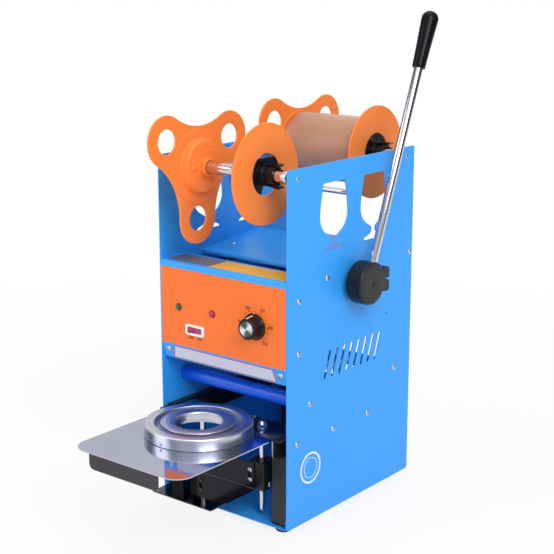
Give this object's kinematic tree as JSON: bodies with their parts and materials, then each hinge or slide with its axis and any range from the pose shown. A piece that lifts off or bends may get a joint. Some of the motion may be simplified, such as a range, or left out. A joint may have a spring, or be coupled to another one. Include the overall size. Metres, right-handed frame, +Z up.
{
  "type": "cup sealing machine",
  "caption": "Tabletop machine that seals film on a cup: pull-out drawer with a ring mould, side lever, heated head and two film reels.",
  "frame": {"origin": "middle of the underside of the whole machine's box at rest, with the drawer out", "axes": "+Z up; +Y towards the back, away from the drawer; +X towards the lever's side, the right as seen from the front"},
  "size_m": [0.2646, 0.5502, 0.6768],
  "materials": {
    "body_paint": "semi-gloss blue powder coat",
    "reel_plastic": "orange moulded plastic",
    "black_plastic": "black moulded plastic",
    "black_rubber": "moulded rubber",
    "chromed_steel": "bright chrome",
    "polished_steel": "polished stainless sheet",
    "turned_aluminium": "turned",
    "machined_steel": "machined",
    "zinc_steel": "black zinc",
    "roller_plastic": "blue moulded plastic",
    "white_plastic": "white moulded plastic",
    "red_lens": "tinted moulded plastic",
    "green_lens": "tinted moulded plastic",
    "paper_core": "wound paper tube",
    "film": "wound plastic film"
  },
  "bodies": {
    "frame": {"left_side_panel": "body_paint", "right_side_panel": "body_paint", "base_pan": "body_paint", "rear_panel": "body_paint", "cable_gland": "black_rubber", "control_panel": "body_paint", "deck_cover": "body_paint", "tie_rod": "chromed_steel", "foot_front_left": "black_rubber", "foot_front_right": "black_rubber", "foot_rear_left": "black_rubber", "foot_rear_right": "black_rubber", "green_lamp": "green_lens", "red_lamp": "red_lens", "switch_housing": "white_plastic", "reel_bearing_front_left": "black_plastic", "reel_bearing_front_right": "black_plastic", "reel_bearing_rear_left": "black_plastic", "reel_bearing_rear_right": "black_plastic", "lever_bush_left": "machined_steel", "lever_bush_right": "machined_steel", "head_crossbar": "machined_steel", "guide_column_left": "machined_steel", "guide_column_right": "machined_steel", "drawer_rail_left": "zinc_steel", "drawer_rail_right": "zinc_steel"},
    "front_roller": {"front_roller": "roller_plastic"},
    "rear_roller": {"rear_roller": "roller_plastic"},
    "front_reel": {"front_reel_shaft": "chromed_steel", "front_reel_lobe": "reel_plastic", "front_reel_disc": "reel_plastic", "front_reel_clamp": "black_plastic"},
    "rear_reel": {"rear_reel_shaft": "chromed_steel", "rear_reel_lobe": "reel_plastic", "rear_reel_disc": "reel_plastic", "rear_reel_clamp": "black_plastic", "film_core": "paper_core", "film_roll": "film"},
    "lever": {"lever_shaft": "chromed_steel", "lever_cam": "machined_steel", "lever_hub": "black_plastic", "lever_rod": "chromed_steel", "lever_grip": "black_plastic"},
    "sealing_head": {"head_carrier": "turned_aluminium", "press_ram": "machined_steel", "heating_plate": "turned_aluminium", "cutter_ring": "machined_steel"},
    "drawer": {"drawer_tray": "polished_steel", "cup_mould": "turned_aluminium", "cup_ring_insert": "turned_aluminium", "rest_rod_left": "chromed_steel", "rest_rod_right": "chromed_steel", "drawer_slide_left": "zinc_steel", "drawer_slide_right": "zinc_steel"},
    "cup_rest": {"cup_rest_plate": "polished_steel", "rest_block_left": "black_plastic", "rest_block_right": "black_plastic"},
    "temperature_knob": {"temperature_knob": "black_plastic"},
    "power_rocker": {"power_rocker": "red_lens"}
  },
  "joints": [
    {"name": "lever_pull", "type": "hinge", "parent": "frame", "child": "lever", "pos_m": [-0.01325, 0.05605, 0.326], "axis": [1, 0, 0], "range_deg": [0, 92], "stiffness_Nm_per_rad": 0.6, "springref_deg": -34.38},
    {"name": "head_press", "type": "slide", "parent": "frame", "child": "sealing_head", "axis": [0, 0, -1], "range_m": [0, 0.026]},
    {"name": "drawer_pull", "type": "slide", "parent": "frame", "child": "drawer", "axis": [0, 1, 0], "range_m": [0, 0.1909]},
    {"name": "cup_rest_height", "type": "slide", "parent": "drawer", "child": "cup_rest", "axis": [0, 0, 1], "range_m": [-0.025, 0.035]},
    {"name": "front_roller_turn", "type": "hinge", "parent": "frame", "child": "front_roller", "pos_m": [-0.01325, -0.04165, 0.178], "axis": [1, 0, 0], "continuous": true},
    {"name": "rear_roller_turn", "type": "hinge", "parent": "frame", "child": "rear_roller", "pos_m": [-0.01325, 0.15635, 0.178], "axis": [1, 0, 0], "continuous": true},
    {"name": "front_reel_turn", "type": "hinge", "parent": "frame", "child": "front_reel", "pos_m": [-0.01325, -0.06715, 0.48], "axis": [1, 0, 0], "continuous": true},
    {"name": "rear_reel_turn", "type": "hinge", "parent": "frame", "child": "rear_reel", "pos_m": [-0.01325, 0.17925, 0.48], "axis": [1, 0, 0], "continuous": true},
    {"name": "temperature_turn", "type": "hinge", "parent": "frame", "child": "temperature_knob", "pos_m": [0.04375, -0.08715, 0.284], "axis": [0, 1, 0], "range_deg": [-140, 140]},
    {"name": "power_tilt", "type": "hinge", "parent": "frame", "child": "power_rocker", "pos_m": [-0.05975, -0.08315, 0.26], "axis": [0, 0, 1], "range_deg": [-16, 0]}
  ],
  "couplings": [
    {"joint": "head_press", "follows": "lever_pull", "m_per_rad": 0.01619}
  ]
}
